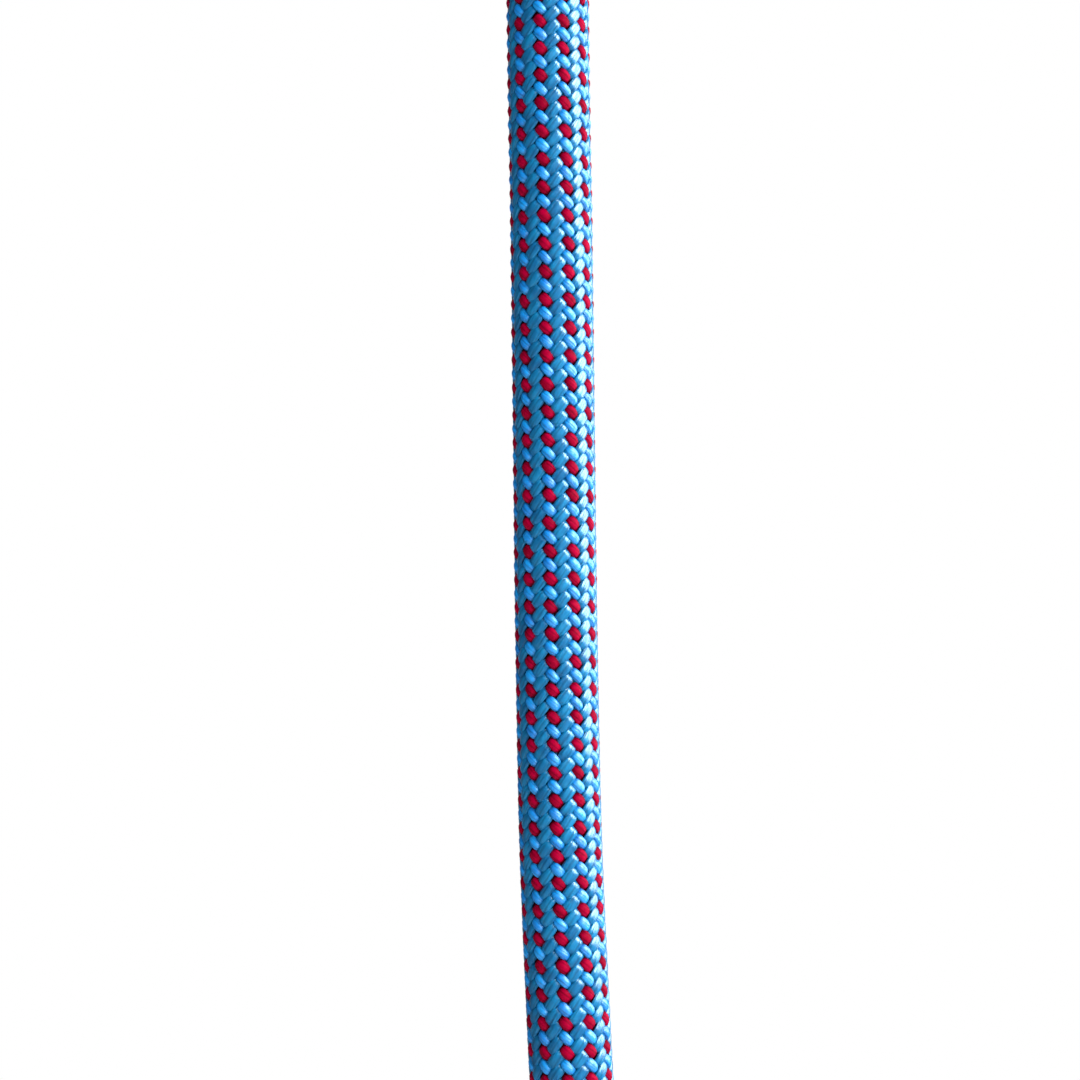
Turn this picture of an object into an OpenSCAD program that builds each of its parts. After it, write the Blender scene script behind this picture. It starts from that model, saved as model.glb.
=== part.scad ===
// Dynamic climbing rope: a kernmantle rope that hangs from a noose and ends in a stopper knot.
// Millimetres, +Z up. The origin is where the load bears on the inside of the eye.

/* [Rope] */
// Outer diameter of the rope
rope_d = 10; // [8.9:0.1:11]
// Wall of the braided sheath
sheath_wall = 1; // [0.8:0.05:1.2]
// Clearance between the core strands, and between them and the sheath
strand_gap = 0.08; // [0.05:0.01:0.15]
// Diameter of the marker thread that lies in the core
marker_d = 0.3; // [0.2:0.02:0.4]

/* [Knots] */
// Gap between neighbouring turns of a knot
knot_gap = 0.6; // [0.55:0.05:1]

/* [Length] */
// Height of the straight run between the two knots
run_len = 178; // [160:1:260]
// Length of the tail that leaves the noose knot
upper_tail = 26; // [24:1:32]
// Length of the tail that leaves the stopper knot
lower_tail = 34; // [26:1:50]

/* [Rope ends] */
// Length of the sleeve shrunk over each end
sleeve_len = 18; // [12:1:20]
// Wall of the end sleeves
sleeve_wall = 0.6; // [0.4:0.1:0.8]
// Clearance between a sleeve and the rope inside it
sleeve_gap = 0.05; // [0.02:0.01:0.1]
// Height of the fused cap on each cut end
seal_h = 2.4; // [1.6:0.2:3.2]

/* [Hidden] */

sheath_colour = "#1790dc";
strand_colour = "#f4f2ea";
marker_colour = "#2f8f57";
sleeve_colour = "#1c1d20";
seal_colour = "#3b4a5c";

// Sides of the swept tubes, and facets of the turned ones
sheath_sides = 8;
strand_sides = 4;
marker_sides = 3;
$fn = 40;

// ---- Core: one strand in the middle and a ring of eight round it ----
rope_r = rope_d / 2;
bore_r = rope_r - sheath_wall;
// The bore is a polygon, so its flats lie nearer than its corners
bore_flat = bore_r * cos(180 / sheath_sides);
ring_strands = 8;
ring_spacing = sin(180 / ring_strands);
ring_r = (bore_flat - strand_gap / 2) / (1 + ring_spacing);
strand_r = ring_r * ring_spacing - strand_gap / 2;
// The marker thread lies between the middle strand and the ring, against the middle strand
marker_r = marker_d / 2;
marker_place = strand_r + strand_gap / 2 + marker_r;

// ---- Knots: barrel knots, in which the rope winds round itself ----
// Distance between two ropes that lie side by side
lay = rope_d + knot_gap;
// Rise of the winding in one turn. It is over lay because the turns slope.
turn_rise = 1.03 * lay;
// The winding is set off from the ropes inside it by this factor
wind_ease = 1.02;
wind_from = 240;
wind_to = 660;
wind_steps = 12;
// From the middle of a knot to where its ropes run straight, along its axis
knot_half = 1.9 * lay;

// The bend from a rope's own place in the knot out to the winding, in units of lay
bend = [
    [0, 0, -0.4],
    [-0.02, 0.04, -0.88],
    [-0.2, 0.16, -1.34],
    [-0.6, 0.26, -1.6],
    [-1.02, 0.08, -1.6],
    [-1.24, -0.36, -1.34],
    [-1.02, -0.84, -1],
];
// Rings from one point of the route to the next, where it bends and where it runs straight
bend_cuts = 2;
leg_cuts = 1;

function unit(v) = v / norm(v);
function reversed(v) = [for (i = [len(v) - 1 : -1 : 0]) v[i]];
function turned(p, a) = [p.x * cos(a) - p.y * sin(a), p.x * sin(a) + p.y * cos(a), p.z];
// Points marked with how many rings they ask for on either side
function marked(points, cuts) = [for (p = points) [p.x, p.y, p.z, cuts]];

// Distance from the axis to a taut line laid at 1 round n strands that touch, at an angle off a strand
function wind_reach(n, off) =
    let (
        out = 0.5 / sin(180 / n),
        flat = out * cos(180 / n) + 1,
        side = 180 / n - abs(off)
    )
    flat * tan(side) <= 0.5
        ? flat / cos(side)
        : out * cos(off) + sqrt(1 - pow(out * sin(off), 2));

// The same at angle a for n ropes of which one lies at angle first, with the knot's own spacing
function wind_radius(n, first, a) =
    let (
        step = 360 / n,
        off = a - first
    )
    wind_reach(n, off - step * round(off / step)) * lay * wind_ease;

function winding(n, first) = [
    for (i = [0 : wind_steps])
        let (
            a = wind_from + (wind_to - wind_from) * i / wind_steps,
            r = wind_radius(n, first, a)
        )
        [r * cos(a), r * sin(a), turn_rise * (a - (wind_from + wind_to) / 2) / 360]
];

// The way into a knot: down inside it at x = -lay / 2, then out through the bend
function way_in(y) = concat(
    marked([for (z = [knot_half, 1.05 * lay, 0.3 * lay]) [-lay / 2, y, z]], leg_cuts),
    marked([for (b = bend) [-lay / 2, y, 0] + lay * b], bend_cuts)
);
// The way out is the same, turned half round about Y
function way_out(y) = reversed([for (p = way_in(y)) [-p.x, p.y, -p.z, p[3]]]);

// A barrel knot in which n ropes lie side by side
function barrel_knot(n, first, y) = concat(
    way_in(y),
    marked(winding(n, first), bend_cuts),
    way_out(y)
);
function moved(points, at, a) = [
    for (p = points) let (q = at + turned([p.x, p.y, p.z], a)) [q.x, q.y, q.z, p[3]]
];

// ---- Route of the rope's centreline, from the upper tail to the lower one ----
// In the noose knot the loop's return and the tail lie beside the standing part, three in all
trio = lay / sqrt(3);
noose_turn = 60;
eye_foot = 45;
noose_at = [0, trio / 2, -eye_foot - knot_half];
noose_points = reversed(moved(barrel_knot(3, 270, trio / 2), noose_at, noose_turn));

// The upper tail stands off from the run beside it by tail_off before it hangs straight
tail_off = [-0.6, 1.8];
// Straight rope above the sleeve
sleeve_clear = 1;
tail_straight = sleeve_len + sleeve_clear;
noose_exit = [noose_points[0].x, noose_points[0].y, noose_points[0].z];
upper_end = noose_exit + [tail_off.x, tail_off.y, -upper_tail];
upper_tail_points = [upper_end, upper_end + [0, 0, tail_straight]];

// One side of the eye, from its foot up: [x, z]
eye_points = [[6, -39], [9, -28], [12.4, -16], [11.5, -4], [6.5, 3]];
eye_route = concat(
    [for (e = eye_points) [-e.x, 0, e.y]],
    [[0, 0, rope_r]],
    reversed([for (e = eye_points) [e.x, 0, e.y]])
);

// The standing part passes down through the noose knot and hangs
standing = [[lay / 2, 0, noose_at.z + knot_half], [lay / 2, 0, noose_at.z]];
run_top = noose_at.z - knot_half;
run_bottom = run_top - run_len;
// The run's slight natural bend: [share of its height, x, y]
run_points = [
    [0.02, 0, 0],
    [0.12, -0.74, 0],
    [0.22, -0.78, 0],
    [0.36, -0.36, -0.2],
    [0.5, -0.06, -0.8],
    [0.64, 0.24, -2],
    [0.78, 0.76, -4],
    [0.9, 1.7, -6.4],
    [0.98, 2.4, -7.8],
];
run_end = [2.5, -8];
run_route = [for (q = run_points) [lay / 2 + q.y, q.z, run_top - q.x * run_len]];

stopper_at = [lay + run_end.x, run_end.y, run_bottom - knot_half];
stopper_points = moved(barrel_knot(2, 180, 0), stopper_at, 0);
last = stopper_points[len(stopper_points) - 1];
stopper_exit = [last.x, last.y, last.z];
lower_end = stopper_exit - [0, 0, lower_tail];
lower_tail_points = [lower_end + [0, 0, tail_straight], lower_end];

route = concat(
    marked(upper_tail_points, leg_cuts),
    noose_points,
    marked(eye_route, bend_cuts),
    marked(standing, leg_cuts),
    marked(run_route, leg_cuts),
    stopper_points,
    marked(lower_tail_points, leg_cuts)
);

// ---- A smooth line through the route ----
function place(i) =
    i < 0 ? 2 * place(0) - place(1)
    : i >= len(route) ? 2 * place(len(route) - 1) - place(len(route) - 2)
    : [route[i].x, route[i].y, route[i].z];
stops = [for (i = [-1 : len(route)]) place(i)];
// Root of each distance, which keeps the line from looping between uneven points
roots = [for (i = [0 : len(stops) - 2]) sqrt(norm(stops[i + 1] - stops[i]))];
slopes = [
    for (i = [1 : len(stops) - 2])
        (
            (stops[i] - stops[i - 1]) / roots[i - 1] * roots[i]
            + (stops[i + 1] - stops[i]) / roots[i] * roots[i - 1]
        ) / (roots[i - 1] + roots[i])
];
function between(i, t) =
    (2 * t * t * t - 3 * t * t + 1) * stops[i + 1]
    + (t * t * t - 2 * t * t + t) * roots[i + 1] * slopes[i]
    + (3 * t * t - 2 * t * t * t) * stops[i + 2]
    + (t * t * t - t * t) * roots[i + 1] * slopes[i + 1];
// Rings from each point of the route to the next: the fewer of what the two ask for
stretch_rings = [for (i = [0 : len(route) - 2]) min(route[i][3], route[i + 1][3])];
function line_points(fineness) = concat(
    [
        for (i = [0 : len(route) - 2])
            let (cuts = stretch_rings[i] * fineness)
            for (k = [0 : cuts - 1]) between(i, k / cuts)
    ],
    [place(len(route) - 1)]
);

// ---- Rings along that line, each with axes that turn with it and don't twist ----
centres = line_points(1);
last_ring = len(centres) - 1;
function heading(i) = i == 0 || i == last_ring
    ? [0, 0, i == 0 ? 1 : -1]
    : unit(unit(centres[i + 1] - centres[i]) + unit(centres[i] - centres[i - 1]));
headings = [for (i = [0 : last_ring]) heading(i)];
function squared(side, along) = unit(side - (side * along) * along);
sides = [
    for (i = 0, s = [1, 0, 0]; i <= last_ring; i = i + 1, s = i <= last_ring ? squared(s, headings[i]) : s) s
];

// Number of the ring at each point of the route, and where the sheath's nodes meet
ring_at = [
    for (i = 0, n = 0; i < len(route); i = i + 1, n = i < len(route) ? n + stretch_rings[i - 1] : n) n
];
eye_first = len(upper_tail_points) + len(noose_points);
run_first = eye_first + len(eye_route);
stopper_first = run_first + len(standing) + len(run_route);
noose_end = ring_at[eye_first - 1];
eye_end = ring_at[run_first];
run_end_ring = ring_at[stopper_first];

// Corners of one ring. Off is the middle of the tube, from the rope's own middle.
function ring(i, r, n, off) = [
    for (k = [0 : n - 1])
        let (
            a = 360 * (k + 0.5) / n,
            across = cross(headings[i], sides[i])
        )
        centres[i] + (off.x + r * cos(a)) * sides[i] + (off.y + r * sin(a)) * across
];
// Two triangles for each side of each step, of rings that start at point number start
function walls(steps, n, start) = [
    for (i = [0 : steps - 1], k = [0 : n - 1])
        let (
            a = start + i * n + k,
            b = start + i * n + (k + 1) % n
        )
        each [[a, a + n, b], [b, a + n, b + n]]
];
function flipped(faces) = [for (f = faces) reversed(f)];

// A solid tube through rings from to to
module strand(from, to, r, n, off) {
    steps = to - from;
    points = [for (i = [from : to]) each ring(i, r, n, off)];
    ends = steps * n;
    polyhedron(
        points,
        concat(
            walls(steps, n, 0),
            [for (k = [1 : n - 2]) [0, k, k + 1]],
            [for (k = [1 : n - 2]) [ends, ends + k + 1, ends + k]]
        )
    );
}

// A hollow tube through rings from to to
module sheath(from, to) {
    n = sheath_sides;
    steps = to - from;
    inner = (steps + 1) * n;
    outer_points = [for (i = [from : to]) each ring(i, rope_r, n, [0, 0])];
    inner_points = [for (i = [from : to]) each ring(i, bore_r, n, [0, 0])];
    end_faces = [
        for (k = [0 : n - 1])
            let (
                next = (k + 1) % n,
                far = steps * n
            )
            each [
                [k, next, inner + k],
                [next, inner + next, inner + k],
                [far + k, inner + far + k, far + next],
                [far + next, inner + far + k, inner + far + next]
            ]
    ];
    color(sheath_colour)
    polyhedron(
        concat(outer_points, inner_points),
        concat(walls(steps, n, 0), flipped(walls(steps, n, inner)), end_faces)
    );
}

module sheath_noose_knot() {
    sheath(0, noose_end);
}

module sheath_eye() {
    sheath(noose_end, eye_end);
}

module sheath_run() {
    sheath(eye_end, run_end_ring);
}

module sheath_stopper_knot() {
    sheath(run_end_ring, last_ring);
}

// Strand 1 is the middle one. The rest stand between the corners of the bore.
module core_strand(number) {
    a = 360 * (number - 2) / ring_strands;
    off = number == 1 ? [0, 0] : ring_r * [cos(a), sin(a)];
    color(strand_colour)
    strand(0, last_ring, strand_r, strand_sides, off);
}

module marker_thread() {
    a = 180 / strand_sides;
    color(marker_colour)
    strand(0, last_ring, marker_r, marker_sides, marker_place * [cos(a), sin(a)]);
}

// The cut ends are melted into a cap, and a sleeve is shrunk over cap and rope.
// Both stand at the end of a tail, which hangs straight down.
module end_seal(end) {
    round_r = seal_h * 0.6;
    color(seal_colour)
    translate(end)
    rotate_extrude()
    polygon(
        concat(
            [[0, 0], [rope_r, 0]],
            [for (a = [0 : 18 : 90]) [rope_r - round_r + round_r * cos(a), round_r * (1 - sin(a)) - seal_h]],
            [[0, -seal_h]]
        )
    );
}

module end_sleeve(end) {
    bore = rope_r + sleeve_gap;
    outside = bore + sleeve_wall;
    lip = sleeve_wall * 0.5;
    color(sleeve_colour)
    translate(end)
    rotate_extrude()
    polygon([
        [bore, -seal_h * 0.4],
        [outside - lip, -seal_h * 0.4],
        [outside, lip - seal_h * 0.4],
        [outside, sleeve_len - lip],
        [outside - lip, sleeve_len],
        [bore, sleeve_len],
    ]);
}

module upper_end_sleeve() {
    end_sleeve(upper_end);
}

module upper_end_seal() {
    end_seal(upper_end);
}

module lower_end_sleeve() {
    end_sleeve(lower_end);
}

module lower_end_seal() {
    end_seal(lower_end);
}

// ---- What the knots leave free, measured along the line ----
fine = line_points(3);
far_apart = 2.2 * rope_d;
function path_sums(points) = [
    for (i = 0, s = 0; i < len(points);
        i = i + 1, s = i < len(points) ? s + norm(points[i] - points[i - 1]) : s) s
];
sums = path_sums(fine);
gaps = [
    for (i = [0 : 2 : len(fine) - 1], j = [i + 1 : len(fine) - 1])
        if (sums[j] - sums[i] > far_apart) norm(fine[i] - fine[j]) - rope_d
];
echo(rope_length = sums[len(sums) - 1], least_self_gap = min(gaps), rings = last_ring + 1);
echo(lower_end = lower_end, run_top = run_top, run_bottom = run_bottom, strand_r = strand_r);

sheath_eye();
sheath_noose_knot();
sheath_run();
sheath_stopper_knot();
core_strand(1);  // core_strand_1
core_strand(2);  // core_strand_2
core_strand(3);  // core_strand_3
core_strand(4);  // core_strand_4
core_strand(5);  // core_strand_5
core_strand(6);  // core_strand_6
core_strand(7);  // core_strand_7
core_strand(8);  // core_strand_8
core_strand(9);  // core_strand_9
marker_thread();
upper_end_sleeve();
upper_end_seal();
lower_end_sleeve();
lower_end_seal();
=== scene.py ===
"""Looks of the dynamic climbing rope: its braided sheath, end sleeves and melted caps."""

import math

import bpy
import numpy as np
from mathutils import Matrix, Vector


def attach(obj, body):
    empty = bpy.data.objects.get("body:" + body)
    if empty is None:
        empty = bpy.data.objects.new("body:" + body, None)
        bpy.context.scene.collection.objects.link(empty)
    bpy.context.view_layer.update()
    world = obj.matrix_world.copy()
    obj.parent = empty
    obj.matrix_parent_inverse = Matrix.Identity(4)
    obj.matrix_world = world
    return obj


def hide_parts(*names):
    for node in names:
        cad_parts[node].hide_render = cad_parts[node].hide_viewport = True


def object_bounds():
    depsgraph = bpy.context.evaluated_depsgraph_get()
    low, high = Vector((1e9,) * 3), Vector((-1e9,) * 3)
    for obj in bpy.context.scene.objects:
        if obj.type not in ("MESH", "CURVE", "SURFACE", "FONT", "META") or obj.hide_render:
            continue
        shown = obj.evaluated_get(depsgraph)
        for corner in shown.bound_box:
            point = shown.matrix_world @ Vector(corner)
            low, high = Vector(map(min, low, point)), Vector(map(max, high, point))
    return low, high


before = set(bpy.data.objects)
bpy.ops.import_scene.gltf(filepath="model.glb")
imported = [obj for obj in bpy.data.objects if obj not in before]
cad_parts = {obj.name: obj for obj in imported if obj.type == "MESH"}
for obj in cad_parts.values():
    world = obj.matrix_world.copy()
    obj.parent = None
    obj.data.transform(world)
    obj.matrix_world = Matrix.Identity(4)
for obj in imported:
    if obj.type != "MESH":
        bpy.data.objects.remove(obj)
cad_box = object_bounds()

MM = 0.001

# ---- Sizes of the rope, as in the part's source ----
ROPE_D = 10 * MM
KNOT_GAP = 0.6 * MM
RUN_LEN = 178 * MM
UPPER_TAIL = 26 * MM
LOWER_TAIL = 34 * MM
SLEEVE_LEN = 18 * MM
EYE_FOOT = 45 * MM
ROPE_R = ROPE_D / 2
LAY = ROPE_D + KNOT_GAP

# ---- The braid ----
SURFACE_R = ROPE_R + 0.12 * MM  # out to the backs of the highest floats
YARNS = 20  # that wind each way
BRAID_PITCH = 33.26 * MM  # one turn of a yarn
UNDER_T = 0.15 * MM  # thickness of a yarn's outer half where it passes below the others
UNDER_TOP = 0.64 * MM  # how far within SURFACE_R its back lies there
UNDER_W = 0.52  # its width there, as a share of its float's
SHADE_TUBE_SUNK = 1.4 * UNDER_T  # how far the dark lining, painted shade between the yarns, lies within those backs
# Where a yarn lies on top: its width, its outer half's thickness, how far its back lies within
# SURFACE_R, how many degrees of PHASES the float reaches either way, and how blunt it is
FLOATS = {
    "red": (1.32 * MM, 0.44 * MM, 0, 75, 2.3),
    "azure": (1.2 * MM, 0.42 * MM, 0, 86, 2.1),
    "blue": (1.42 * MM, 0.25 * MM, 0.1 * MM, 98, 3.6),
}
# Phases of a yarn's rise and fall at which it is drawn, 0 at the middle of a float
PHASES = np.array([-180, -135, -108, -92, -78, -58, -34, 0, 34, 58, 78, 92, 108, 135])
ACROSS = 7  # points round a yarn's outer half
BACK_ROUND = 112  # degrees from the middle of its back to each edge
# How much floats differ: shares of thickness and width, how far out, and degrees round the rope
VARY_T, VARY_W, VARY_OUT, VARY_TURN = 0.05, 0.05, 0.008 * MM, 0.5
PAINTED_SHADE_AT_EDGE = 0.45  # painted shade: how light a float stays at its edges, as a share of its back
YARN_SHIFT = 37.7  # millimetres between the patterns of neighbouring yarns
# The bake's map: rows for each yarn, the margin at a row's ends and the one along its edges
BAKE_ROWS, ROW_ENDS, ROW_EDGES = 4, 0.003, 0.16
PLIES = 3  # side by side in a yarn
PLY_TWIST = 0.05  # shares of a yarn's width for each millimetre
FILAMENT_TWIST = 0.09

# ---- The photograph's view ----
FRAME_PX = 1080
PX_PER_MM = 8.216
CAMERA_AWAY = 235 * MM
VIEW_Z = -187 * MM
ROPE_MIDDLE_PX = 555.1
RED_FLOAT_PX = 551.0  # height of one red float in the column nearest the middle
RED_COLUMN_DEG = -8.4  # where that column lies at mid height
COLUMN_DRIFT = 68.4  # degrees for each metre down the rope
# The pitch isn't quite even: heights in the picture, and how far the floats lie below even
# places there, in pixels
SLIP_AT_PX = [-200, 90, 250, 400, 540, 680, 830, 980, 1080, 1300]
SLIP_PX = [0, -5.2, -2.2, 0.7, 1.6, 1.8, 0, -4.6, -6, 0]

# ---- Light ----
WORLD_COLOUR = (0.8, 0.95, 1)
WORLD_LEVEL = 0.16
DIMMED_IN_GLOSS = 0.85  # the share of the world's light that gloss doesn't show
FLOOR_LIFT = 0.12
FLOOR_FADE = (0.12, 0.3)  # distances over which the floor turns plain white
# Each lamp's place, with its height above the view's middle, its size and power, and whether
# gloss shows it
LAMPS = [
    ("key", (0.7, -0.4, 0.5), (0.5, 0.7), 14, True),
    ("side", (0.8, 0.25, 0.15), (0.5, 0.7), 9, True),
    ("front", (0.1, -0.9, 0.4), (0.5, 0.5), 5.2, False),
    ("back", (-0.25, 0.95, 0.3), (0.6, 0.6), 7, False),
]
AIM = (0.005, 0, VIEW_Z)

# ============================ Route of the rope ============================
# The same points as in the part's source, in metres

WIND_FROM, WIND_TO, WIND_STEPS = 240, 660, 12
WIND_EASE = 1.02
TURN_RISE = 1.03 * LAY
KNOT_HALF = 1.9 * LAY
BEND = [
    (0, 0, -0.4),
    (-0.02, 0.04, -0.88),
    (-0.2, 0.16, -1.34),
    (-0.6, 0.26, -1.6),
    (-1.02, 0.08, -1.6),
    (-1.24, -0.36, -1.34),
    (-1.02, -0.84, -1),
]
EYE_SIDE = [(6, -39), (9, -28), (12.4, -16), (11.5, -4), (6.5, 3)]
RUN_POINTS = [
    (0.02, 0, 0),
    (0.12, -0.74, 0),
    (0.22, -0.78, 0),
    (0.36, -0.36, -0.2),
    (0.5, -0.06, -0.8),
    (0.64, 0.24, -2),
    (0.78, 0.76, -4),
    (0.9, 1.7, -6.4),
    (0.98, 2.4, -7.8),
]
RUN_END = (2.5, -8)
TAIL_OFF = (-0.6, 1.8)


def wind_radius(count, first, angle):
    """How far out a line lies that winds tightly round count strands, the first at an angle."""
    step = 360 / count
    off = (angle - first + step / 2) % step - step / 2
    out = 0.5 / math.sin(math.pi / count)
    flat = out * math.cos(math.pi / count) + 1
    side = math.radians(step / 2 - abs(off))
    off = math.radians(off)
    if flat * math.tan(side) <= 0.5:
        reach = flat / math.cos(side)
    else:
        reach = out * math.cos(off) + math.sqrt(1 - (out * math.sin(off)) ** 2)
    return reach * LAY * WIND_EASE


def winding(count, first):
    points = []
    for i in range(WIND_STEPS + 1):
        angle = WIND_FROM + (WIND_TO - WIND_FROM) * i / WIND_STEPS
        r = wind_radius(count, first, angle)
        a = math.radians(angle)
        rise = TURN_RISE * (angle - (WIND_FROM + WIND_TO) / 2) / 360
        points.append((r * math.cos(a), r * math.sin(a), rise))
    return points


def way_in(y):
    legs = [(-LAY / 2, y, z) for z in (KNOT_HALF, 1.05 * LAY, 0.3 * LAY)]
    return legs + [(-LAY / 2 + LAY * b[0], y + LAY * b[1], LAY * b[2]) for b in BEND]


def barrel_knot(count, first, y):
    way_out = [(-p[0], p[1], -p[2]) for p in way_in(y)]
    return way_in(y) + winding(count, first) + way_out[::-1]


def moved(points, at, degrees):
    c, s = math.cos(math.radians(degrees)), math.sin(math.radians(degrees))
    return [
        (at[0] + p[0] * c - p[1] * s, at[1] + p[0] * s + p[1] * c, at[2] + p[2])
        for p in points
    ]


TRIO = LAY / math.sqrt(3)
NOOSE_AT = (0, TRIO / 2, -EYE_FOOT - KNOT_HALF)
RUN_TOP = NOOSE_AT[2] - KNOT_HALF
RUN_BOTTOM = RUN_TOP - RUN_LEN
STOPPER_AT = (LAY + RUN_END[0] * MM, RUN_END[1] * MM, RUN_BOTTOM - KNOT_HALF)


def route_points():
    """The points from the upper tail's end to the lower tail's end."""
    noose = moved(barrel_knot(3, 270, TRIO / 2), NOOSE_AT, 60)[::-1]
    upper_end = (
        noose[0][0] + TAIL_OFF[0] * MM,
        noose[0][1] + TAIL_OFF[1] * MM,
        noose[0][2] - UPPER_TAIL,
    )
    straight = SLEEVE_LEN + MM
    eye = [(-x * MM, 0, z * MM) for x, z in EYE_SIDE] + [(0, 0, ROPE_R)]
    eye += [(x * MM, 0, z * MM) for x, z in EYE_SIDE[::-1]]
    standing = [(LAY / 2, 0, NOOSE_AT[2] + KNOT_HALF), (LAY / 2, 0, NOOSE_AT[2])]
    run = [(LAY / 2 + x * MM, y * MM, RUN_TOP - s * RUN_LEN) for s, x, y in RUN_POINTS]
    stopper = moved(barrel_knot(2, 180, 0), STOPPER_AT, 0)
    lower_end = (stopper[-1][0], stopper[-1][1], stopper[-1][2] - LOWER_TAIL)
    points = [upper_end, (upper_end[0], upper_end[1], upper_end[2] + straight)]
    points += noose + eye + standing + run + stopper
    points += [(lower_end[0], lower_end[1], lower_end[2] + straight), lower_end]
    return np.array(points)


def smooth_line(points, cuts):
    """A smooth line through the points, which doesn't loop between uneven ones."""
    stops = np.vstack([2 * points[0] - points[1], points, 2 * points[-1] - points[-2]])
    roots = np.sqrt(np.linalg.norm(np.diff(stops, axis=0), axis=1))[:, None]
    before = (stops[1:-1] - stops[:-2]) / roots[:-1]
    after = (stops[2:] - stops[1:-1]) / roots[1:]
    slopes = (before * roots[1:] + after * roots[:-1]) / (roots[:-1] + roots[1:])
    line = []
    for k in range(cuts):
        t = k / cuts
        line.append(
            (2 * t**3 - 3 * t**2 + 1) * points[:-1]
            + (t**3 - 2 * t**2 + t) * roots[1:-1] * slopes[:-1]
            + (3 * t**2 - 2 * t**3) * points[1:]
            + (t**3 - t**2) * roots[1:-1] * slopes[1:]
        )
    line = np.stack(line, axis=1).reshape(-1, 3)
    return np.vstack([line, points[-1:]])


def distances(line):
    """How far along a line each of its points lies."""
    return np.concatenate([[0], np.cumsum(np.linalg.norm(np.diff(line, axis=0), axis=1))])


def units(rows):
    """The same directions, each of length 1."""
    return rows / np.linalg.norm(rows, axis=1)[:, None]


def evenly(line, step):
    """The same line with points a step apart, and the distance of each along it."""
    along = distances(line)
    count = int(round(along[-1] / step))
    at = np.linspace(0, along[-1], count + 1)
    return np.stack([np.interp(at, along, line[:, k]) for k in range(3)], axis=1), at


def steady_sides(line):
    """At each point, the line's direction and a direction across it that doesn't twist."""
    ahead = units(np.gradient(line, axis=0))
    side = np.array([1.0, 0.0, 0.0])
    sides = np.empty_like(line)
    for i, t in enumerate(ahead):
        side = side - side.dot(t) * t
        side /= np.linalg.norm(side)
        sides[i] = side
    return ahead, sides


LINE, ALONG = evenly(smooth_line(route_points(), 24), 0.25 * MM)
AHEAD, SIDES = steady_sides(LINE)
OTHERS = np.cross(AHEAD, SIDES)
ROPE_LENGTH = float(ALONG[-1])


def at_height(z):
    """Distance along the rope where its hanging run passes a height."""
    hangs = (LINE[:, 2] < RUN_TOP) & (LINE[:, 2] > RUN_BOTTOM) & (AHEAD[:, 2] < -0.9)
    on_run = np.flatnonzero(hangs)
    on_run = on_run[ALONG[on_run] > ROPE_LENGTH / 3]
    return float(np.interp(-z, -LINE[on_run, 2], ALONG[on_run]))


def on_line(values, at):
    """Rows of values, such as places or directions, at distances along the rope."""
    return np.stack([np.interp(at, ALONG, values[:, k]) for k in range(3)], axis=-1)


VIEW_AT = at_height(VIEW_Z)  # distance along the rope at the photograph's mid height


def past_middle(px):
    """The length that lies between the photograph's middle and a row or column of pixels."""
    return (px - FRAME_PX / 2) / PX_PER_MM * MM


# ============================ Camera ============================
def make_camera():
    middle = on_line(LINE, VIEW_AT)
    data = bpy.data.cameras.new("camera")
    data.sensor_width = 36
    half_view = FRAME_PX / 2 / PX_PER_MM * MM
    data.lens = data.sensor_width / 2 * CAMERA_AWAY / half_view
    data.clip_start = 10 * MM
    data.clip_end = 10
    camera = bpy.data.objects.new("camera", data)
    beside = past_middle(ROPE_MIDDLE_PX)
    camera.location = (middle[0] - beside, middle[1] - CAMERA_AWAY, VIEW_Z)
    camera.rotation_euler = (math.radians(90), 0, 0)
    bpy.context.scene.collection.objects.link(camera)
    bpy.context.scene.camera = camera


make_camera()


# ============================ Mesh helpers ============================
def new_piece(name, points, faces, slots, face_slots=None):
    """A smooth mesh object of four-cornered faces."""
    mesh = bpy.data.meshes.new(name)
    mesh.vertices.add(len(points))
    mesh.vertices.foreach_set("co", np.asarray(points, dtype=np.float32).ravel())
    mesh.loops.add(faces.size)
    mesh.loops.foreach_set("vertex_index", faces.astype(np.int32).ravel())
    mesh.polygons.add(len(faces))
    starts = np.arange(len(faces), dtype=np.int32) * faces.shape[1]
    mesh.polygons.foreach_set("loop_start", starts)
    mesh.polygons.foreach_set("use_smooth", np.ones(len(faces), dtype=bool))
    for material in slots:
        mesh.materials.append(material)
    if face_slots is not None:
        mesh.polygons.foreach_set("material_index", face_slots.astype(np.int32))
    mesh.update()
    mesh.validate()
    piece = bpy.data.objects.new(name, mesh)
    bpy.context.scene.collection.objects.link(piece)
    return piece


def add_uv(piece, name, corners):
    """A UV map with a place for each corner of each face."""
    layer = piece.data.uv_layers.new(name=name)
    layer.data.foreach_set("uv", corners.astype(np.float32).ravel())


def quads(grid):
    """Faces between neighbours in a grid of point numbers."""
    corners = [grid[:-1, :-1], grid[:-1, 1:], grid[1:, 1:], grid[1:, :-1]]
    return np.stack(corners, axis=-1).reshape(-1, 4)


def closed_round(grid):
    """The grid with its first column once more at its end, so that its faces meet."""
    return np.hstack([grid, grid[:, :1]])


# ============================ Materials ============================
def nodes_of(name):
    material = bpy.data.materials.new(name)
    material.use_nodes = True
    tree = material.node_tree
    return material, tree, tree.nodes["Principled BSDF"]


def add(tree, kind, **values):
    node = tree.nodes.new(kind)
    for key, value in values.items():
        setattr(node, key, value)
    return node


def put(tree, node, sockets):
    """Set a node's sockets, each to a number or colour or to what another socket gives."""
    for key, value in sockets.items():
        if isinstance(value, bpy.types.NodeSocket):
            tree.links.new(value, node.inputs[key])
        else:
            node.inputs[key].default_value = value


def maths(tree, operation, *values):
    node = add(tree, "ShaderNodeMath", operation=operation)
    put(tree, node, dict(enumerate(values)))
    return node.outputs[0]


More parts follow.
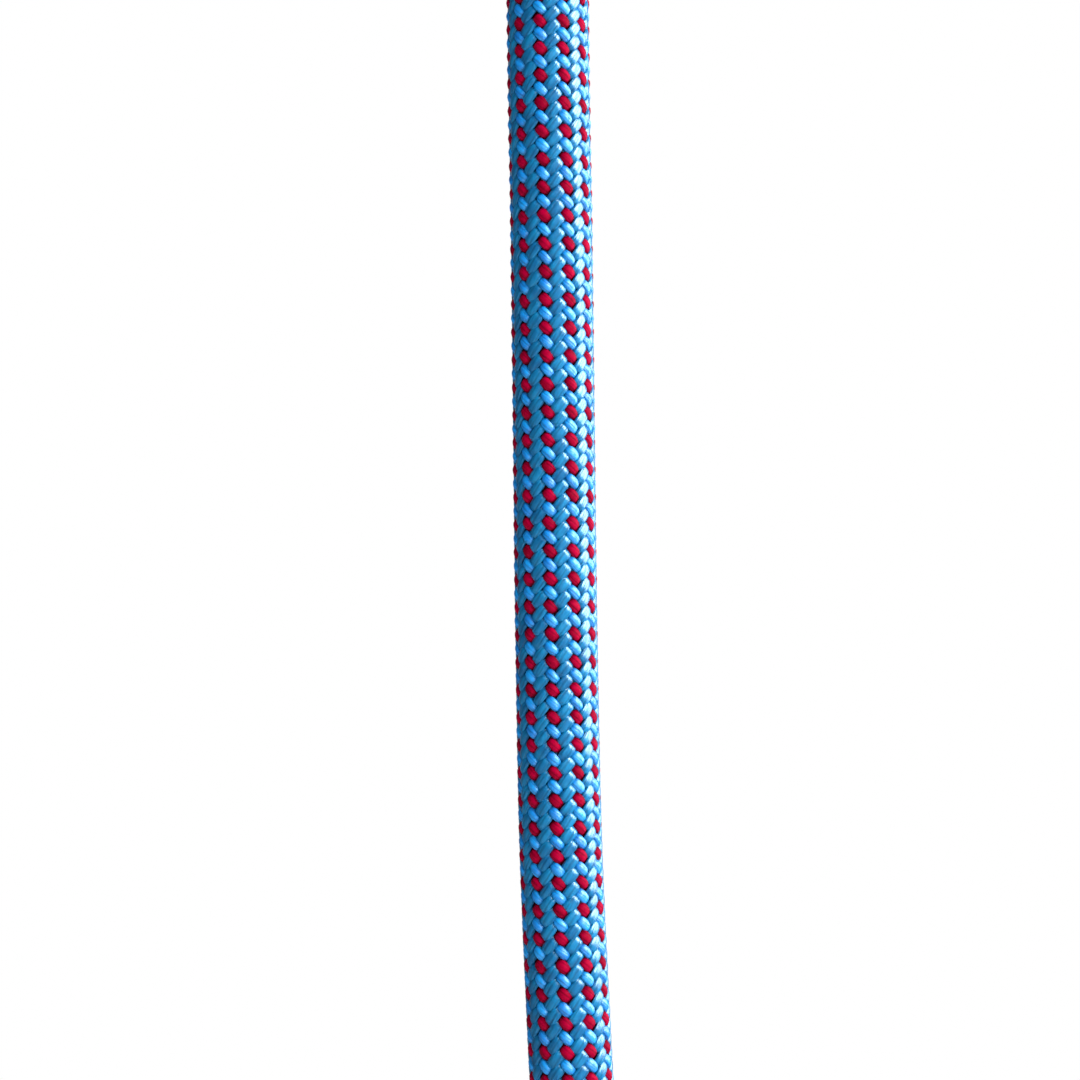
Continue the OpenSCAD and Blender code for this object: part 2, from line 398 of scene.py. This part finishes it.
def noise(tree, sockets):
    node = add(tree, "ShaderNodeTexNoise")
    put(tree, node, sockets)
    return node.outputs["Fac"]


def ramp(tree, share, stops):
    """Colours that pass from stop to stop as a share grows."""
    node = add(tree, "ShaderNodeValToRGB")
    elements = node.color_ramp.elements
    while len(elements) < len(stops):
        elements.new(0.5)
    for element, (at, colour) in zip(elements, stops):
        element.position = at
        element.color = (*colour, 1)
    tree.links.new(share, node.inputs["Fac"])
    return node.outputs["Color"]


def span(tree, value, low, high, to_low=0, to_high=1, kind="LINEAR"):
    """From to_low to to_high as a value goes from low to high, and level beyond them."""
    node = add(tree, "ShaderNodeMapRange", interpolation_type=kind)
    ends = {"From Min": low, "From Max": high, "To Min": to_low, "To Max": to_high}
    put(tree, node, {"Value": value, **ends})
    return node.outputs["Result"]


def relief(tree, height, strength, distance):
    """The surface's direction with a height laid over it."""
    node = add(tree, "ShaderNodeBump")
    put(tree, node, {"Height": height, "Strength": strength, "Distance": distance})
    return node.outputs["Normal"]


def yarn_material(name, colour, deep, crease_shade, gloss, rough, seed):
    """Bright polyamide yarn: twisted plies, with fine filaments that run along them.

    colour and deep are its lightest and darkest tones, and crease sets painted shade: how light it
    stays where it dives between its neighbours.
    """
    material, tree, shader = nodes_of(name)
    # The map runs along the yarn in millimetres, and across it from 0 to 1
    split = add(tree, "ShaderNodeSeparateXYZ")
    tree.links.new(add(tree, "ShaderNodeUVMap", uv_map="yarn").outputs["UV"], split.inputs[0])
    along, across = split.outputs["X"], split.outputs["Y"]

    def twisted(twist):
        return maths(tree, "MULTIPLY_ADD", along, twist, across)

    def streaks(along_scale, across_scale, twist, detail):
        vector = add(tree, "ShaderNodeCombineXYZ")
        x = maths(tree, "MULTIPLY", along, along_scale)
        y = maths(tree, "MULTIPLY", twisted(twist), across_scale)
        put(tree, vector, {"X": x, "Y": y, "Z": seed})
        place = {"Vector": vector.outputs[0], "Scale": 1, "Detail": detail, "Roughness": 0.6}
        return noise(tree, place)

    filaments = streaks(0.5, 12, FILAMENT_TWIST, 2)
    patches = streaks(0.45, 0.8, 0, 1)
    tone = maths(tree, "MULTIPLY", maths(tree, "ADD", filaments, patches), 0.5)
    dyed = ramp(tree, tone, [(0.4, deep), (0.62, colour)])
    # Painted shade: darker in the grooves between plies; the same wave also gives the bump its
    # height
    wave = maths(tree, "MULTIPLY", twisted(PLY_TWIST), PLIES * math.pi)
    ply = maths(tree, "ABSOLUTE", maths(tree, "SINE", wave))
    groove_shade_and_height = span(tree, ply, 0, 0.6, 0.62, 1)
    # Painted shade: darker where the yarn dives between its neighbours and at a float's edges
    rise = add(tree, "ShaderNodeAttribute", attribute_name="rise")
    shade = span(tree, rise.outputs["Fac"], 0.05, 0.75, crease_shade, 1)
    shaded = add(tree, "ShaderNodeVectorMath", operation="SCALE")
    put(tree, shaded, {0: dyed, "Scale": maths(tree, "MULTIPLY", shade, groove_shade_and_height)})
    height = maths(tree, "MULTIPLY_ADD", filaments, 0.6, groove_shade_and_height)
    tangent = add(tree, "ShaderNodeTangent", direction_type="UV_MAP", uv_map="yarn")
    look = {
        "Base Color": shaded.outputs[0],
        "Normal": relief(tree, height, 0.7, 0.1 * MM),
        "Tangent": tangent.outputs[0],
        "Roughness": rough,
        "IOR": 1.75,
        "Specular IOR Level": gloss,
        "Specular Tint": (0.68, 0.92, 1, 1),
        "Anisotropic": 0.5,
        "Anisotropic Rotation": 0.25,
    }
    put(tree, shader, look)
    return material


def plain_material(name, colour, roughness):
    """One colour with a fine, faint mottle."""
    material, tree, shader = nodes_of(name)
    darker = [c * 0.75 for c in colour]
    mottled = ramp(tree, noise(tree, {"Scale": 900}), [(0, darker), (1, colour)])
    put(tree, shader, {"Base Color": mottled, "Roughness": roughness})
    return material


def srgb(*levels):
    """Linear colour from one read as 0 to 255."""
    shares = [level / 255 for level in levels]
    return tuple(((c + 0.055) / 1.055) ** 2.4 if c > 0.04 else c / 12.92 for c in shares)


# The fourth number is painted shade: how light each yarn stays where it dives between the others
RED = yarn_material("yarn_red", srgb(158, 0, 46), srgb(126, 0, 32), 0.12, 0.02, 0.5, 1.5)
AZURE = yarn_material("yarn_azure", srgb(6, 156, 240), srgb(1, 122, 214), 0.3, 1, 0.4, 4.5)
BLUE = yarn_material("yarn_blue", srgb(0, 126, 180), srgb(0, 94, 148), 0.6, 1, 0.31, 7.5)
# Painted shade: a dark colour for the tube seen between the yarns
PAINTED_SHADE_LINING = plain_material("painted_shade_lining", srgb(3, 34, 58), 0.9)


# ============================ Braided sheath ============================
def find_column():
    """Where the red column nearest the camera lies at mid height, and which way angles grow.

    The angle is among the rope's own untwisted directions. The second value is 1 where angles
    grow to the right on the side that the camera sees, and -1 where they grow to the left.
    """
    turn = math.radians(RED_COLUMN_DEG)
    towards = np.array([math.sin(turn), -math.cos(turn), 0])
    side, other = on_line(SIDES, VIEW_AT), on_line(OTHERS, VIEW_AT)
    column = math.degrees(math.atan2(towards.dot(other), towards.dot(side)))
    a = math.radians(column + 1)
    step = math.cos(a) * side + math.sin(a) * other
    return column, 1 if (step - towards)[0] > 0 else -1


COLUMN, HANDED = find_column()
YARN_TURN = 360 / BRAID_PITCH  # degrees that a yarn winds for each metre of rope
RISE_TURN = YARN_TURN * YARNS / 2  # degrees of its rise and fall for each metre of rope
RED_AT = VIEW_AT + past_middle(RED_FLOAT_PX)  # distance along the rope of one red float
SLIP_AT = VIEW_AT + past_middle(np.array(SLIP_AT_PX))
# Where each point of the rope would lie if its pitch were even
EVEN = ALONG - np.interp(ALONG, SLIP_AT, np.array(SLIP_PX) / PX_PER_MM * MM)


def swell(phase, reach, blunt):
    """From 0 under the other yarns to 1 at a float's middle, with a rounded end."""
    u = np.abs((phase + 180) % 360 - 180) / reach
    return np.clip(1 - u**blunt, 0, None) ** 0.5


def draw_yarn(way, k, slot, rng):
    """One yarn: its points in rows across it, how far each has risen with painted shade at a
    float's edges, and its length there.
    """
    first = 180 * k if way == 1 else -180 * k - 270
    lowest = -RISE_TURN * RED_AT + first
    highest = lowest + RISE_TURN * ROPE_LENGTH
    cycles = np.arange(math.floor(lowest / 360) - 1, highest / 360 + 2)
    phase = (360 * cycles[:, None] + PHASES[None]).ravel()
    place = RED_AT + (phase - first) / RISE_TURN
    kept = (place > 0) & (place < ROPE_LENGTH)
    place = np.concatenate([[0], place[kept], [ROPE_LENGTH]])
    at = np.interp(place, EVEN, ALONG)
    phase = (place - RED_AT) * RISE_TURN + first
    angle = way * YARN_TURN * (place - RED_AT) + 360 / YARNS * (k if way == 1 else k + 0.5)

    # Small differences from float to float
    cycle = phase / 360 + 0.5 - cycles[0]
    floats = np.arange(len(cycles) + 1) + 0.5
    vary = [np.interp(cycle, floats, rng.normal(0, 1, len(floats))) for _ in range(3)]

    float_w, float_t, sunk, reach, blunt = FLOATS[("red", "azure", "blue")[slot]]
    s = swell(phase, reach, blunt)
    thick = (UNDER_T + (float_t - UNDER_T) * s) * (1 + VARY_T * vary[0])
    width = (float_w / 2) * (UNDER_W + (1 - UNDER_W) * s) * (1 + VARY_W * vary[1])
    back_r = SURFACE_R - sunk - (UNDER_TOP - sunk) * (1 - s)
    centre_r = back_r - thick + VARY_OUT * vary[0]
    drift = COLUMN_DRIFT * (at - VIEW_AT)
    turned = np.radians(COLUMN + HANDED * (angle + drift + VARY_TURN * vary[2]))
    side, other = on_line(SIDES, at), on_line(OTHERS, at)
    out = np.cos(turned)[:, None] * side + np.sin(turned)[:, None] * other

    # The yarn's own directions: along it, across it and out of the rope
    level_line = on_line(LINE, at) + out * (SURFACE_R - UNDER_TOP)
    along = units(np.gradient(level_line, at, axis=0))
    across = units(np.cross(along, out))
    up = np.cross(across, along)
    spread = np.linspace(-1, 1, ACROSS) * math.radians(BACK_ROUND)
    u, v = np.sin(spread), np.cos(spread)
    rows = (
        (on_line(LINE, at) + out * centre_r[:, None])[:, None]
        + (across * width[:, None])[:, None] * u[None, :, None]
        + (up * thick[:, None])[:, None] * v[None, :, None]
    )
    # Painted shade: lightness for each point, low where the yarn dives and at a float's edges
    rise = s[:, None] * (PAINTED_SHADE_AT_EDGE + (1 - PAINTED_SHADE_AT_EDGE) * np.clip(v, 0, 1))[None]
    return rows, rise, distances(level_line)


def bake_corners(travel, yarn):
    """Faces' corners in the bake's map, where each yarn is cut into rows that lie in a stack."""
    row_len = travel[-1] / BAKE_ROWS + 2 * MM
    row = np.floor(travel[:-1] / row_len)
    ends = np.stack([travel[:-1], travel[:-1], travel[1:], travel[1:]], axis=-1)
    on_row = ends - (row * row_len)[:, None]
    step = np.arange(ACROSS - 1)[:, None] + np.array([0, 1, 1, 0])[None]
    on_edge = ROW_EDGES + (1 - 2 * ROW_EDGES) * step[None] / (ACROSS - 1)
    corners = np.empty((len(row), ACROSS - 1, 4, 2))
    corners[..., 0] = ROW_ENDS + (1 - 2 * ROW_ENDS) * on_row[:, None, :] / (row_len + MM)
    stack = (row + BAKE_ROWS * yarn)[:, None, None] + on_edge
    corners[..., 1] = stack / (BAKE_ROWS * 2 * YARNS)
    return corners.reshape(-1, 2)


def braid():
    """Every yarn of the sheath as its own ribbon with a rounded back, in one mesh."""
    rng = np.random.default_rng(7)
    points, painted_shade_rises, uvs, bake_uvs, faces, slots = [], [], [], [], [], []
    start = 0
    for way in (1, -1):
        for k in range(YARNS):
            slot = 2 if way == -1 else k % 2
            rows, rise, travel = draw_yarn(way, k, slot, rng)
            quad = quads(start + np.arange(rise.size).reshape(rise.shape))
            uv = np.empty((*rise.shape, 2))
            uv[..., 0] = travel[:, None] / MM + YARN_SHIFT * k
            uv[..., 1] = np.linspace(0, 1, ACROSS)[None] + k
            points.append(rows.reshape(-1, 3))
            painted_shade_rises.append(rise.ravel())
            uvs.append(uv.reshape(-1, 2))
            bake_uvs.append(bake_corners(travel, k if way == 1 else k + YARNS))
            faces.append(quad)
            slots.append(np.full(len(quad), slot))
            start += rise.size
    return [np.concatenate(each) for each in (points, faces, slots, uvs, painted_shade_rises, bake_uvs)]


points, faces, face_slots, uvs, painted_shade_rises, bake_uvs = braid()
sheath = new_piece("braided_sheath", points, faces, [RED, AZURE, BLUE], face_slots)
add_uv(sheath, "yarn", uvs[faces.ravel()])
add_uv(sheath, "OFBake", bake_uvs)
# Painted shade for the yarn materials, kept on each point as the rise attribute
painted_shade_values = sheath.data.attributes.new("rise", "FLOAT", "POINT").data
painted_shade_values.foreach_set("value", painted_shade_rises.astype(np.float32))


def painted_shade_tube():
    """The sheath's inner side as a dark tube, its colour painted shade seen between the yarns."""
    sides, at = 24, ALONG[::4]
    turn = np.linspace(0, 2 * math.pi, sides, endpoint=False)[None, :, None]
    place, side, other = on_line(LINE, at), on_line(SIDES, at), on_line(OTHERS, at)
    r = SURFACE_R - UNDER_TOP - SHADE_TUBE_SUNK
    ring = place[:, None] + r * (side[:, None] * np.cos(turn) + other[:, None] * np.sin(turn))
    grid = np.arange(len(at) * sides).reshape(len(at), sides)
    return new_piece("painted_shade_lining", ring.reshape(-1, 3), quads(closed_round(grid)), [PAINTED_SHADE_LINING])


inner = painted_shade_tube()


# ============================ Sleeves and melted caps ============================
def shrunk_plastic():
    """Black heat-shrunk tube: satin, slightly mottled and finely grained."""
    material, tree, shader = nodes_of("end_sleeve")
    place = add(tree, "ShaderNodeNewGeometry").outputs["Position"]
    mottle = noise(tree, {"Vector": place, "Scale": 420, "Detail": 5})
    grain = noise(tree, {"Vector": place, "Scale": 3500})
    tones = [(0.35, (0.005, 0.005, 0.006)), (0.75, (0.016, 0.017, 0.019))]
    look = {
        "Base Color": ramp(tree, mottle, tones),
        "Roughness": span(tree, mottle, 0, 1, 0.26, 0.42),
        "Normal": relief(tree, grain, 0.25, 0.03 * MM),
        "Specular IOR Level": 0.35,
    }
    put(tree, shader, look)
    return material


def melted_plastic():
    """Melted cut end: pale core, blue round it with streaks of red, and a scorched rim."""
    material, tree, shader = nodes_of("end_seal")
    # The map runs from the middle of the end, in millimetres
    uv = add(tree, "ShaderNodeUVMap", uv_map="cap").outputs["UV"]
    swirl = noise(tree, {"Vector": uv, "Scale": 0.55, "Detail": 4, "Distortion": 1.2})
    length = add(tree, "ShaderNodeVectorMath", operation="LENGTH")
    tree.links.new(uv, length.inputs[0])
    out = length.outputs["Value"]
    shifted = maths(tree, "MULTIPLY_ADD", swirl, 2.2, out)
    stops = [
        (0.42, srgb(214, 205, 180)),
        (0.56, srgb(170, 164, 150)),
        (0.66, srgb(36, 96, 140)),
        (0.86, srgb(10, 74, 122)),
        (0.97, srgb(20, 26, 34)),
    ]
    rings = ramp(tree, maths(tree, "DIVIDE", shifted, 6.4), stops)
    flecks = noise(tree, {"Vector": uv, "Scale": 0.9, "Detail": 2, "Distortion": 2})
    on_rim = span(tree, out, 2.9, 3.5)
    streaks = maths(tree, "MULTIPLY", span(tree, flecks, 0.54, 0.62), on_rim)
    mix = add(tree, "ShaderNodeMix", data_type="RGBA")
    put(tree, mix, {"Factor": streaks, "A": rings, "B": (*srgb(128, 8, 30), 1)})
    look = {
        "Base Color": mix.outputs["Result"],
        "Normal": relief(tree, swirl, 0.4, 0.2 * MM),
        "Roughness": 0.28,
    }
    put(tree, shader, look)
    return material


SLEEVE = shrunk_plastic()
SEAL = melted_plastic()
AROUND = 144  # points round a sleeve or cap
TURN = np.linspace(0, 2 * math.pi, AROUND, endpoint=False)[None]

# A sleeve's section, as heights above the rope's end and radii in millimetres
LOWER_LIP = [(0.3, 5.03), (-0.5, 5.0), (-0.86, 4.99), (-1.02, 5.08), (-1.0, 5.24), (-0.8, 5.4)]
LOWER_LIP += [(-0.45, 5.47), (0.0, 5.5), (0.5, 5.51)]
SLEEVE_WALL = [(height, 5.52) for height in np.arange(0.9, 16.6, 0.12)]
UPPER_LIP = [(16.8, 5.53), (17.05, 5.62), (17.35, 5.71), (17.65, 5.7), (17.88, 5.58)]
UPPER_LIP += [(17.98, 5.38), (17.95, 5.18), (17.8, 5.07), (17.4, 5.04)]
OUTER_R = 5.45 * MM  # what lies further out belongs to a sleeve's outer side
BRAID_SHOWS = 0.05 * MM  # how far the braid below lifts and sinks a sleeve
SLEEVE_WAVES = 0.035 * MM
LIP_WAVES = 0.12 * MM

CAP_R = 4.94 * MM
CAP_SIDE = 0.3  # the share of a cap's section that is its upright side
CAP_SIDE_H = 0.9 * MM
CAP_DOME_H = 1.45 * MM
CAP_LUMPS_OUT, CAP_LUMPS_UP = 0.02, 0.1 * MM


def revolved(name, centre, radii, heights, material, closed):
    """A piece from rings of points, each with its radius and height; also its points and faces."""
    points = np.stack([radii * np.cos(TURN), radii * np.sin(TURN), heights], axis=-1)
    grid = np.arange(radii.size).reshape(radii.shape)
    if closed:
        grid = np.vstack([grid, grid[:1]])
    quad = quads(closed_round(grid))
    piece = new_piece(name, points.reshape(-1, 3) + np.array(centre), quad, [material])
    return piece, points, quad


def waves(rng, heights, count, least, most):
    """A sum of a few slow waves round and along, between -1 and 1 or so."""
    total = np.zeros(np.broadcast(TURN, heights).shape)
    for _ in range(count):
        lobes = rng.integers(least, most)
        total += np.cos(lobes * TURN + rng.uniform(-1, 1) * heights / MM + rng.uniform(0, 6.3))
    return total / count**0.5


def end_sleeve(name, end, column, rng):
    """A shrunk tube that shows the braid below it, with a rolled lip at each end."""
    profile = np.array(LOWER_LIP + SLEEVE_WALL + UPPER_LIP) * MM
    heights, radii = profile[:, :1], profile[:, 1:]
    off_lower_lip = np.clip((heights / MM - 0.4) / 1.2, 0, 1)
    off_upper_lip = np.clip((17 * MM - heights) / MM / 1.2, 0, 1)
    outer = radii > OUTER_R
    rows = np.cos(2 * math.pi * heights * YARNS / BRAID_PITCH)
    bumps = np.cos(YARNS / 2 * (TURN - column)) * rows
    lifted = off_lower_lip * off_upper_lip * outer * BRAID_SHOWS * bumps
    lifted = lifted + outer * SLEEVE_WAVES * waves(rng, heights, 5, 2, 6)
    at_upper_lip = np.clip(heights / MM - 16, 0, 1)
    wavy = outer * at_upper_lip * LIP_WAVES * waves(rng, 0 * heights, 3, 2, 5)
    return revolved(name, end, radii + lifted, heights + 0 * TURN + wavy, SLEEVE, True)[0]


def end_cap(name, end, rng):
    """The melted end of the rope, a lumpy low dome."""
    share = np.linspace(0, 1, 40)[:, None]
    dome = np.clip((share - CAP_SIDE) / (1 - CAP_SIDE), 0, 1) * math.pi / 2
    out = np.where(share < CAP_SIDE, CAP_R, CAP_R * np.cos(dome) ** 0.55)
    out = np.maximum(out, 0.02 * MM)
    down = -np.minimum(share / CAP_SIDE, 1) * CAP_SIDE_H
    down = down - CAP_DOME_H * np.sin(dome) ** 0.8
    lumps = waves(rng, share * 3 * MM, 6, 1, 7) * np.clip(out / (2 * MM), 0, 1)
    lumps = lumps * np.clip(share - 0.25, 0, 1)
    radii, heights = out * (1 + CAP_LUMPS_OUT * lumps), down + CAP_LUMPS_UP * lumps
    piece, points, quad = revolved(name, end, radii, heights, SEAL, False)
    flat = points[..., :2].reshape(-1, 2) / MM
    add_uv(piece, "cap", flat[quad.ravel()])
    return piece


RNG = np.random.default_rng(23)
fittings = []
# The last number turns the braid's relief, so that the two sleeves differ
for which, end, column in (("upper", LINE[0], 0.6), ("lower", LINE[-1], 1.9)):
    fittings.append((which, "sleeve", end_sleeve(which + "_shrunk_sleeve", end, column, RNG)))
    fittings.append((which, "seal", end_cap(which + "_melted_cap", end, RNG)))
for which, kind, piece in fittings:
    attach(piece, "root")
    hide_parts(which + "_end_" + kind)

SHEATH_NODES = ["sheath_eye", "sheath_noose_knot", "sheath_run", "sheath_stopper_knot"]
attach(sheath, "root")
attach(inner, "root")
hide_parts(*SHEATH_NODES)

# ============================ Core and marker, inside the sheath ============================
CORE = plain_material("core_strand", srgb(236, 233, 222), 0.7)
MARKER = plain_material("marker_thread", srgb(40, 140, 80), 0.7)
for name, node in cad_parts.items():
    if name.startswith(("core_strand", "marker")):
        node.data.materials.clear()
        node.data.materials.append(CORE if name.startswith("core") else MARKER)


# ============================ Floor, backdrop and light ============================
def seen_directly(tree, depth):
    """1 for what the camera sees, also through glass and in gloss that shows the backdrop.

    depth is a socket with how far a place or direction lies behind the rope, along +Y.
    """
    paths = add(tree, "ShaderNodeLightPath")
    behind = span(tree, depth, 0.8, 1, kind="SMOOTHSTEP")
    in_gloss = maths(tree, "MULTIPLY", paths.outputs["Is Glossy Ray"], behind)
    seen = maths(tree, "MAXIMUM", paths.outputs["Is Camera Ray"], in_gloss)
    return maths(tree, "MAXIMUM", seen, paths.outputs["Is Transmission Ray"])


def mixed(tree, share, first, second):
    """A shader that passes from the first to the second as a share grows."""
    mix = add(tree, "ShaderNodeMixShader")
    put(tree, mix, {"Fac": share, 1: first.outputs[0], 2: second.outputs[0]})
    return mix


def make_world():
    """Soft light from all round, and plain white behind the rope."""
    world = bpy.data.worlds.new("world")
    bpy.context.scene.world = world
    world.use_nodes = True
    tree = world.node_tree
    tree.nodes.clear()
    glossy = add(tree, "ShaderNodeLightPath").outputs["Is Glossy Ray"]
    dimmed = -DIMMED_IN_GLOSS * WORLD_LEVEL
    level = maths(tree, "MULTIPLY_ADD", glossy, dimmed, WORLD_LEVEL)
    soft = add(tree, "ShaderNodeBackground")
    put(tree, soft, {"Color": (*WORLD_COLOUR, 1), "Strength": level})
    white = add(tree, "ShaderNodeBackground")
    put(tree, white, {"Color": (1, 1, 1, 1), "Strength": 1})
    direction = add(tree, "ShaderNodeSeparateXYZ")
    tree.links.new(add(tree, "ShaderNodeTexCoord").outputs["Generated"], direction.inputs[0])
    look = mixed(tree, seen_directly(tree, direction.outputs["Y"]), soft, white)
    out = add(tree, "ShaderNodeOutputWorld")
    tree.links.new(look.outputs[0], out.inputs["Surface"])


def make_floor():
    """A pale floor that takes the shadow near the rope and is plain white further off."""
    low = cad_box[0][2] - 4 * MM
    size = 6
    corners = [(-size, -size, low), (size, -size, low), (size, size, low), (-size, size, low)]
    mesh = bpy.data.meshes.new("floor")
    mesh.from_pydata(corners, [], [(0, 1, 2, 3)])
    floor = bpy.data.objects.new("floor", mesh)
    floor.visible_glossy = False  # the world stands behind the rope in gloss
    bpy.context.scene.collection.objects.link(floor)
    material, tree, shader = nodes_of("floor")
    put(tree, shader, {"Base Color": (0.88, 0.88, 0.88, 1), "Roughness": 0.9})
    lifted = add(tree, "ShaderNodeEmission")
    lifted.inputs["Strength"].default_value = FLOOR_LIFT
    near = add(tree, "ShaderNodeAddShader")
    put(tree, near, {0: shader.outputs[0], 1: lifted.outputs[0]})
    white = add(tree, "ShaderNodeEmission")
    place = add(tree, "ShaderNodeNewGeometry").outputs["Position"]
    flat = add(tree, "ShaderNodeVectorMath", operation="MULTIPLY")
    put(tree, flat, {0: place, 1: (1, 1, 0)})
    away = add(tree, "ShaderNodeVectorMath", operation="LENGTH")
    tree.links.new(flat.outputs[0], away.inputs[0])
    far = span(tree, away.outputs["Value"], *FLOOR_FADE, kind="SMOOTHSTEP")
    look = mixed(tree, far, near, white)
    split = add(tree, "ShaderNodeSeparateXYZ")
    tree.links.new(place, split.inputs[0])
    shown = mixed(tree, seen_directly(tree, split.outputs["Y"]), shader, look)
    tree.links.new(shown.outputs[0], tree.nodes["Material Output"].inputs["Surface"])
    mesh.materials.append(material)


def soft_lamp(name, place, size, power, in_gloss):
    data = bpy.data.lights.new(name, "AREA")
    data.shape = "RECTANGLE"
    data.size, data.size_y = size
    data.energy = power
    lamp = bpy.data.objects.new(name, data)
    lamp.location = place
    lamp.rotation_euler = (Vector(AIM) - Vector(place)).to_track_quat("-Z", "Y").to_euler()
    lamp.visible_camera = False
    lamp.visible_glossy = in_gloss
    bpy.context.scene.collection.objects.link(lamp)


make_world()
make_floor()
for name, (x, y, up), size, power, in_gloss in LAMPS:
    soft_lamp(name, (x, y, VIEW_Z + up), size, power, in_gloss)

bpy.context.scene.view_settings.view_transform = "Standard"
